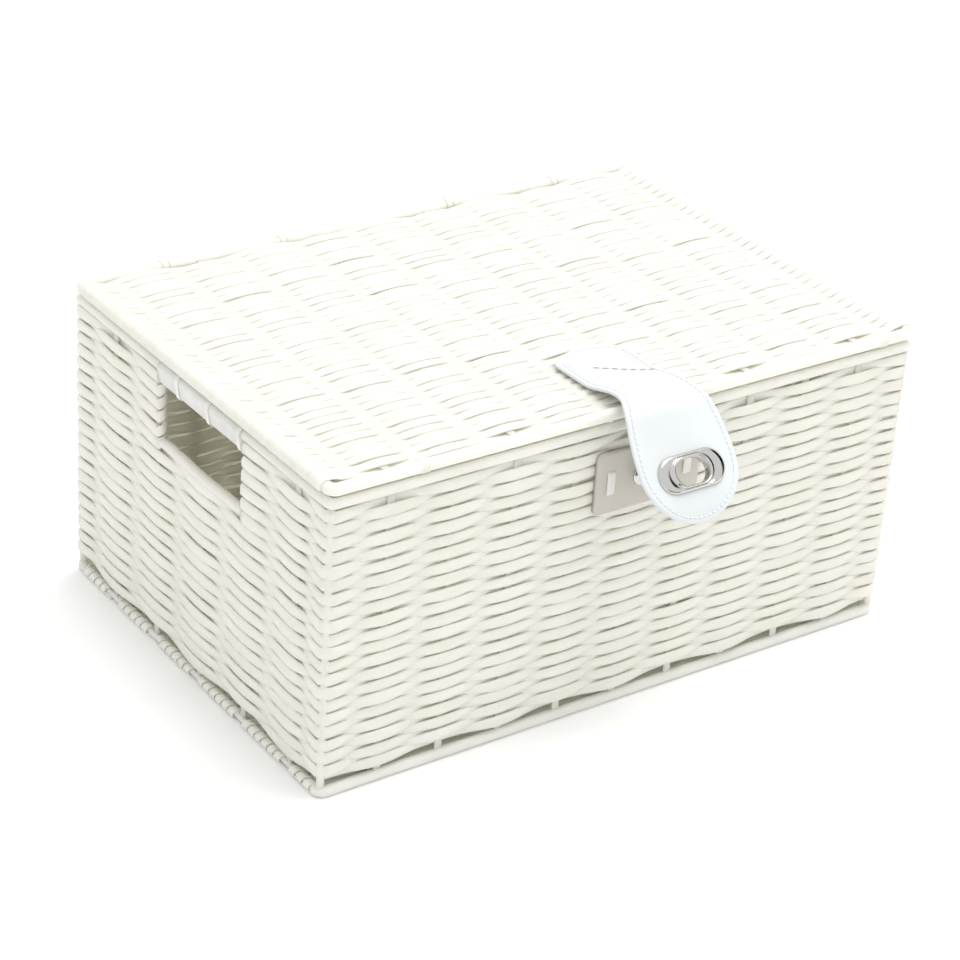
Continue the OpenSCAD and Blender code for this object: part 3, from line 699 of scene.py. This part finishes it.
print("tie places, mm:", (tie_ys / MM).round(1))

# %% [markdown]
# ## Hinge loops and rim windings
# The lid has no metal hinge. Strips are looped round both rear rims, tight on the basket's rim and loose on
# the lid's, which turns in them. Short windings of thin strip cover the joints in the lid's rim.

# %% Loops and windings
LOOP_XS = np.array([-140, -60, 60, 140]) * MM   # each loop is two strips side by side
HALF_PAIR, LOOP_SLACK, LOOP_LIFT = 2.2 * MM, 0.45 * MM, 0.6 * MM
outline = capsule(half_w - lid_rim_r, lid_rim_z, lid_rim_r + LOOP_SLACK, top_rim_z, top_rim_r + LOOP_LIFT)
strands = (LOOP_XS[:, None] + np.array([-1, 1]) * HALF_PAIR).ravel()
path = repeat_at(outline, strands)[..., [1, 0, 2]]  # these outlines stand across the trunk, not along it
loops = sweep("hinge_loops", path, wide=4.2 * MM, thick=0.55 * MM, up=(1, 0, 0), closed=True, box=0.8)
dress(loops, "basket", STRAND, "hinge_ties")

turn = np.linspace(0, 2 * np.pi, 33)[:-1]
binding_low, binding_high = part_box("lid_rim_bindings")
centres = np.concatenate([np.array([-2, 0, 2]) * MM + x for x in (
    binding_low.x + 3 * MM, binding_high.x - 3 * MM)])
around_r = lid_rim_r + 0.1 * MM
slant = 0.8 * MM * np.sin(turn + 1)
path = spread_out(centres[:, None] + slant, -half_w + lid_rim_r + around_r * np.cos(turn),
                  lid_rim_z + around_r * np.sin(turn))
bindings = sweep("lid_rim_windings", path, wide=1.9 * MM, thick=0.5 * MM, up=(1, 0, 0), closed=True, box=0.8)
dress(bindings, "lid", STRAND, "lid_rim_bindings")
print("loops", len(strands), "windings", len(centres))

# %% [markdown]
# ## Leather and metal
# The strap and the patch are coated leather with a fine pebbled grain of about one millimetre: the strap a
# cool white skin, the patch light grey and darkened further as painted shadow of the strap that stands in
# front of it.
# The lock is chromed steel, which is nearly a mirror. The thread is waxed polyester; the darker grey of the
# root stitches is partly painted shade of the crease along the sewn line.

# %% Leather, chrome and thread
GRAIN, GRAIN_DEPTH, HANDLED = 1.1 * MM, 0.05 * MM, 40 * MM   # sizes of the pattern on the leather
SMEAR = 9 * MM   # and of the smears on thread and chrome


def leather(name, light, dark, roughness):
    """Coated leather: rounded cells for the grain, and a very slow change of tint from handling."""
    material, tree, surface = new_material(name)
    place = add(tree, "TexCoord").outputs["Object"]
    cells = add(tree, "TexVoronoi", {"feature": "SMOOTH_F1"}, Vector=place, Scale=1 / GRAIN)
    slow = add(tree, "TexNoise", Vector=place, Scale=1 / HANDLED, Detail=2.0)
    tint = two_tints(tree, slow.outputs["Fac"], dark, light)
    bump = add(tree, "Bump", Height=cells.outputs["Distance"], Strength=0.25,
               Distance=GRAIN_DEPTH)
    shader = add(tree, "BsdfPrincipled", Base_Color=tint, Roughness=roughness,
                 IOR=1.5, Normal=bump.outputs[0])
    tree.links.new(shader.outputs[0], surface)
    return material


def plain(name, colour, roughness, metallic=0.0):
    """One even finish with a faint change of roughness, as from fingers and polishing."""
    material, tree, surface = new_material(name)
    place = add(tree, "TexCoord").outputs["Object"]
    smear = add(tree, "TexNoise", Vector=place, Scale=1 / SMEAR, Detail=3.0)
    rough = add(tree, "MapRange", Value=smear.outputs["Fac"], To_Min=roughness * 0.7,
                To_Max=roughness * 1.4)
    shader = add(tree, "BsdfPrincipled", Roughness=rough.outputs[0])
    shader.inputs["Base Color"].default_value = linear(colour)
    shader.inputs["Metallic"].default_value = metallic
    tree.links.new(shader.outputs[0], surface)
    return material


strap_leather = leather("white_coated_leather", "#d6dadb", "#d1d5d6", 0.42)
# The patch's colour is its own light grey, darkened further as painted shadow of the strap in front of it.
patch_leather_painted_shade = leather("grey_leather_painted_strap_shadow", "#bfbbb1", "#b8b4aa", 0.45)
thread = plain("waxed_polyester_thread", "#eef1f2", 0.5)
# Darker grey for the root stitches: partly grey thread, partly painted shade of the crease along the sewn
# line.
shadow_thread = plain("grey_thread_painted_crease_shade", "#9c9fa2", 0.6)
chrome = plain("polished_chrome", "#c6c5c2", 0.13, 1.0)
STRAP, PATCH = (strap_leather, "strap_leather"), (patch_leather_painted_shade, "strap_leather")
THREAD, DARK_THREAD = (thread, "strap_leather"), (shadow_thread, "strap_leather")
CHROME = (chrome, "lock_chrome")
print("finishes:", [material.name for material, _ in (STRAP, PATCH, THREAD, CHROME)])

# %% [markdown]
# ## The strap's line
# Seen from the side the strap is one line: flat where it is sewn down, rising off the lid, over a crown past
# the lid's rim, and down in a gentle curl. Its slope changes evenly between the places below, and adding up
# cos and sin of the slope along the length gives the line itself.

# %% Strap line
STRAP_T = 2.4 * MM
CROWN_S, BEND_HALF, LOCK_S = 60 * MM, 7 * MM, 112 * MM   # distances along the strap
ROOT_LIFT = 0.7 * MM   # the sewn part's middle line above the lid's top
root_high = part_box("strap_root")[1]
flap_low, flap_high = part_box("strap_flap")
clasp_x = (flap_low.x + flap_high.x) / 2
slope_places = np.array([-7, 28, 38, 46, 60, 80, 122.5, 140.5]) * MM
slope_angles = np.radians([0, 0, 16, 16, 0, -50, -50, -72])
line_s = np.linspace(slope_places[0], slope_places[-1], 591)
line_a = np.interp(line_s, slope_places, slope_angles)
gap = line_s[1] - line_s[0]
middle_a = (line_a[1:] + line_a[:-1]) / 2
line_u = -half_w - root_high.y + np.concatenate([[0], np.cumsum(np.cos(middle_a)) * gap])
line_v = trunk_h + ROOT_LIFT + np.concatenate([[0], np.cumsum(np.sin(middle_a)) * gap])


def on_strap(s, t, h):
    """3-D points at distance s along the strap, t to the side and h above its middle surface."""
    u, v, a = (np.interp(s, line_s, values) for values in (line_u, line_v, line_a))
    return spread_out(clasp_x + t, -half_w - u + h * np.sin(a), v + h * np.cos(a))


def bend_with_lid(piece, finish, *nodes):
    """Gives a strap piece its finish's material, bakes its place into its points, and hides the CAD nodes
    that it stands for.
    """
    material, slot = finish
    piece.data.materials.append(material)
    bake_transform(piece)
    if nodes:
        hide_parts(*nodes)
    return piece


print("strap's crown and lock, mm:", (on_strap(np.array([CROWN_S, LOCK_S]), 0, 0) / MM).round(2).tolist())

# %% [markdown]
# ## The strap's surface
# The strap is one closed skin. Its outline has a round rear end, a waist where it crosses the rim, and a wide
# round head. Every outline point is joined by a straight line to a point of the hole, and the skin goes out
# along that line on top, round the edge, and back underneath.

# %% Strap skin
half_widths = np.array([[3, 24.5], [30, 24.0], [45, 23.4], [58, 23.0], [63, 23.8], [69, 26.4], [76, 28.8],
                        [86, 30.8], [97, 32.1], [108, 32.5]]) * MM   # at distances along the strap
HEAD_S, HEAD_R, REAR_R = 108 * MM, 32.5 * MM, 35 * MM
HOLE_L, HOLE_H = 29 * MM, 17 * MM
OUTLINE = 300   # points round the strap's outline


def even_loop(points, count):
    """The same closed loop with `count` evenly spaced points, then smoothed by a short moving average."""
    ring = np.vstack([points, points[:1]])
    run = np.concatenate([[0], np.cumsum(np.linalg.norm(np.diff(ring, axis=0), axis=1))])
    at = np.linspace(0, run[-1], count, endpoint=False)
    loop = np.stack([np.interp(at, run, ring[:, k]) for k in (0, 1)], -1)
    return sum(w * np.roll(loop, k, 0) for k, w in ((-2, .1), (-1, .2), (0, .4), (1, .2), (2, .1)))


def stadium(length, height, count):
    """A closed loop of two half circles of the given height, `length` long overall, anticlockwise."""
    turn = 2 * np.pi * (np.arange(count) + 0.5) / count
    r = height / 2
    return np.stack([np.sign(np.cos(turn)) * (length / 2 - r) + r * np.cos(turn), r * np.sin(turn)], -1)


rear_end = np.arcsin(24.5 / 35)   # where the round of the rear end meets the straight sides
rear_turn = np.linspace(-rear_end, rear_end, 30)
rear = np.stack([slope_places[0] + REAR_R * (1 - np.cos(rear_turn)), REAR_R * np.sin(rear_turn)], -1)
head_turn = np.linspace(np.pi / 2, -np.pi / 2, 60)
head = np.stack([HEAD_S + HEAD_R * np.cos(head_turn), HEAD_R * np.sin(head_turn)], -1)
side_s = np.linspace(3.5 * MM, HEAD_S - MM, 60)
side_t = np.interp(side_s, half_widths[:, 0], half_widths[:, 1])
side = np.stack([side_s, side_t], -1)
outline = even_loop(np.vstack([rear, side, head, (side * (1, -1))[::-1]]), OUTLINE)
ahead = np.roll(outline, -1, 0) - np.roll(outline, 1, 0)
inside = unit(np.stack([ahead[:, 1], -ahead[:, 0]], -1))
if (inside * (outline - outline.mean(0))).sum() > 0:
    inside = -inside
bearing = np.arctan2(outline[:, 0] - LOCK_S, outline[:, 1])
hole = stadium(HOLE_L, HOLE_H, 720)[:, ::-1]
hole_bearing = np.arctan2(hole[:, 0], hole[:, 1])
off_by = np.abs(np.angle(np.exp(1j * (hole_bearing[None] - bearing[:, None]))))
hole = hole[np.argmin(off_by, 1)] + (LOCK_S, 0)

edge_insets = np.array([4.6, 4.1, 3.7, 3.4, 3.1, 2.8, 2.4, 1.8, 1.1, 0.7, 0.35, 0.1, 0]) * MM
edge_heights = np.array([1.2, 1.18, 1.06, 0.98, 0.98, 1.06, 1.2, 1.24, 1.2, 1.1, 0.9, 0.6, 0.25]) * MM
spread = np.linspace(0, 1, 46)[:-1]
rim_loop = outline + edge_insets[0] * inside
top = [hole + f * (rim_loop - hole) for f in spread] + [outline + d * inside for d in edge_insets]
top_h = [STRAP_T / 2] * len(spread) + list(edge_heights)
skin = np.array(top + top[::-1])
skin_h = np.array(top_h + [-h for h in top_h[::-1]])
points = on_strap(skin[..., 0], skin[..., 1], skin_h[:, None])
strap = ring_mesh("strap_leather_skin", points[None], closed=True)
bend_with_lid(strap, STRAP, "strap_root", "strap_flap")
print("strap faces:", len(strap.data.polygons))

# %% [markdown]
# ## Stitches
# A stitch is a short fat thread that dips into the leather at both ends. One row follows the edge all the way
# round, and a second row holds the strap to the lid.

# %% Stitches
THREAD_W = 0.8 * MM


def stitches(name, starts, ends, lift, finish):
    """Short threads from starts to ends, given as (s, t) on the strap, arched by half a sine wave."""
    t = np.linspace(0, 1, 6)
    line = starts[:, None] * (1 - t[:, None]) + ends[:, None] * t[:, None]
    height = STRAP_T / 2 + lift * (np.sin(np.pi * t) - 0.45)
    path = on_strap(line[..., 0], line[..., 1], height)
    return bend_with_lid(sweep(name, path, THREAD_W, THREAD_W * 0.8, sides=6), finish)


SEAM_INSET, EDGE_STITCHES = 3.25 * MM, 111
edge_line = even_loop(outline + SEAM_INSET * inside, EDGE_STITCHES)
toward = np.roll(edge_line, -1, 0) - edge_line
stitches("edge_stitches", edge_line + 0.14 * toward, edge_line + 0.82 * toward, 0.5 * MM, THREAD)
root_line = np.array([17, -9]) * MM + np.linspace(0, 1, 8)[:, None] * np.array([20, 30]) * MM
step = root_line[1] - root_line[0]
# The root row's dark grey is partly painted shade of the crease where the strap is sewn down.
stitches("root_stitches", root_line[:-1] + 0.1 * step, root_line[:-1] + 0.8 * step, 0.3 * MM, DARK_THREAD)
print("stitches:", len(edge_line) + len(root_line) - 1)

# %% [markdown]
# ## The eyelet
# The eyelet is a pressed chrome oval. Its skin is a stack of long rounds, each with a length, a height and a
# place above the leather: a low dome, a shallow groove, a raised ring, and the hole's wall down through it.

# %% Eyelet
eyelet_rings = np.array([
    [44, 21, -0.3], [44.2, 21.3, 0.3], [43.9, 21.0, 0.9], [42.8, 20.4, 1.5], [40.6, 19.6, 2.0],
    [37.5, 18.9, 2.3], [34, 18.4, 2.25], [31, 18.1, 1.95], [29, 17.9, 1.8], [27.9, 17.7, 1.8],
    [27.2, 17.5, 2.05], [26.3, 17.0, 2.5], [25.2, 16.4, 2.85], [24.0, 15.8, 2.8], [22.8, 15.1, 2.3],
    [22.2, 14.7, 1.5], [22, 14.5, 0.5], [22, 14.5, -2.6], [23, 15.5, -3.2], [30, 17, -3.2], [41, 19, -3.2],
    [42, 20, -2.5], [29.2, 17.2, -2.4], [29.2, 17.2, -0.3]]) * MM
loops = np.array([stadium(length, height, 96) for length, height, _ in eyelet_rings])
points = on_strap(LOCK_S - loops[..., 1], loops[..., 0], STRAP_T / 2 + eyelet_rings[:, 2:])
eyelet = ring_mesh("pressed_eyelet", points[None], closed=True)
dress(eyelet, "strap", CHROME, "eyelet", "eyelet_backplate")
print("eyelet faces:", len(eyelet.data.polygons))

# %% [markdown]
# ## Patch, lock plate and knob
# These are flat parts with rounded edges, built as a stack of outlines from the wall outwards. Two plastic
# strips go through the patch and the wall and hold it. The knob turns on its own shaft.

# %% Parts on the front wall
def rounded_box(length, height, radius, count=64):
    """A closed loop: a rectangle with rounded corners, `length` by `height`."""
    turn = 2 * np.pi * (np.arange(count) + 0.5) / count
    way = np.stack([np.cos(turn), np.sin(turn)], -1)
    return np.sign(way) * (length / 2 - radius, height / 2 - radius) + radius * way


def on_front(name, rings, heights, body, finish, *nodes):
    """A solid from a stack of outlines in the plane of the front, each at its own distance out from y = 0."""
    rings = np.array(rings)
    points = spread_out(clasp_x + rings[..., 0], -np.array(heights)[:, None], lock_z + rings[..., 1])
    return dress(ring_mesh(name, points[None]), body, finish, *nodes)


patch_low, patch_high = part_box("clasp_patch")
lock_z = (patch_low.z + patch_high.z) / 2
patch_size = np.array([patch_high.x - patch_low.x, patch_high.z - patch_low.z])
face = -patch_low.y
PATCH_CORNER = 4 * MM
insets = np.array([0, 0, 0.2, 0.7, 1.3]) * MM
on_front("clasp_patch_leather", [rounded_box(*(patch_size - 2 * d), PATCH_CORNER) for d in insets],
         [-patch_high.y, face - 0.8 * MM, face - 0.3 * MM, face, face + 0.1 * MM],
         "basket", PATCH, "clasp_patch")

strip_low, strip_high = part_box("patch_strips")
LACE_W, LACE_T = 5.5 * MM, 1.0 * MM
strip_x = (strip_high.x - strip_low.x) / 2 - LACE_W / 2
t = np.linspace(0, 1, 30)
proud = 1.1 * MM * np.minimum(1, 5 * np.sin(np.pi * t)) - 0.4 * MM
path = spread_out(clasp_x + np.array([[-strip_x], [strip_x]]), patch_low.y - proud,
                  strip_low.z + (strip_high.z - strip_low.z) * t)
strips = sweep("patch_strip_loops", path, LACE_W, LACE_T, up=(1, 0, 0), box=0.5)
dress(strips, "basket", STAKE, "patch_strips")

plate_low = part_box("lock_plate")[0]
knob_low, knob_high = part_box("turn_knob")
PLATE_L, PLATE_H, NECK_D, SHAFT_D = 22 * MM, 13 * MM, 8 * MM, 5 * MM
on_front("turn_lock_plate", [stadium(PLATE_L - 2 * d, PLATE_H - 2 * d, 64) for d in insets[:4] * 0.8] +
         [stadium(NECK_D, NECK_D, 64)] * 2,
         [face, face + 0.6 * MM, face + 0.95 * MM, face + 1.1 * MM, face + 1.15 * MM, -plate_low.y],
         "basket", CHROME, "lock_plate")
knob_len, knob_h = knob_high.x - knob_low.x, knob_high.z - knob_low.z
knob_insets = np.array([0.8, 0.3, 0, 0, 0.3, 0.9, 1.9]) * MM
knob_outs = np.array([0, 0.3, 0.8, 2.2, 2.9, 3.3, 3.5]) * MM
knob_back = -knob_low.y - knob_outs[-1]
on_front("turn_knob_metal", [stadium(SHAFT_D, SHAFT_D, 64)] * 2 +
         [stadium(knob_len - 2 * d, knob_h - 2 * d, 64) for d in knob_insets],
         [face - 0.8 * MM, knob_back, *(knob_back + knob_outs)],
         "knob", CHROME, "turn_knob")
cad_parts["lock_backplate"].data.materials.clear()
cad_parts["lock_backplate"].data.materials.append(chrome)
print("patch, mm:", (patch_size / MM).round(1), "knob, mm:", round(knob_len / MM, 1), round(knob_h / MM, 1))

# %% [markdown]
# ## The stage
# The trunk stands on a pale floor in soft light: a bright even sky, and one large lamp above and to the
# right, which leaves the left side and the gaps of the weave a little darker.

# %% Floor, sky and lamps
FLOOR_SIZE, FLOOR_GAP = 14, 0.2 * MM   # the floor lies a hair below the trunk's foot
SKY_STRENGTH = 1.04

floor_material, tree, surface = new_material("pale_floor")
floor_shader = add(tree, "BsdfPrincipled", Base_Color=linear("#fbfbfb"), Roughness=0.9)
tree.links.new(floor_shader.outputs[0], surface)
bpy.ops.mesh.primitive_plane_add(size=FLOOR_SIZE, location=(0, 0, -FLOOR_GAP))
floor = bpy.context.object
floor.name = "floor"
floor.data.materials.append(floor_material)

world = bpy.data.worlds.new("studio")
bpy.context.scene.world = world
world.use_nodes = True
world.node_tree.nodes["Background"].inputs["Color"].default_value = (1, 1, 1, 1)
world.node_tree.nodes["Background"].inputs["Strength"].default_value = SKY_STRENGTH


def soft_lamp(name, place, size, watts):
    """A square area lamp at `place`, facing the trunk's middle."""
    data = bpy.data.lights.new(name, "AREA")
    data.size, data.energy = size, watts
    lamp = bpy.data.objects.new(name, data)
    bpy.context.scene.collection.objects.link(lamp)
    lamp.location = place
    lamp.rotation_euler = (Vector(place) - middle).to_track_quat("Z", "Y").to_euler()


soft_lamp("key_lamp", place=(0.6, -0.1, 2.5), size=1.6, watts=36)


def flag(name, place, width, height):
    """A black board that only shiny things can see. It stands at `place` and faces the lock."""
    bpy.ops.mesh.primitive_plane_add(size=1, location=place)
    board = bpy.context.object
    board.name = name
    board.scale = (width, height, 1)
    from_lock = Vector(place) - Vector((clasp_x, -half_w, lock_z))
    board.rotation_euler = from_lock.to_track_quat("Z", "Y").to_euler()
    board.data.materials.append(black)
    for kind in ("visible_camera", "visible_diffuse", "visible_shadow", "visible_transmission"):
        setattr(board, kind, False)


black, tree, surface = new_material("black_flag")
black_shader = add(tree, "BsdfDiffuse", Color=linear("#101010"))
tree.links.new(black_shader.outputs[0], surface)
flag("flag_front", place=(-0.02, -0.66, 0.05), width=0.5, height=0.16)
flag("flag_right", place=(0.66, -0.3, 0.36), width=0.44, height=0.5)
bpy.context.scene.view_settings.view_transform = "Standard"
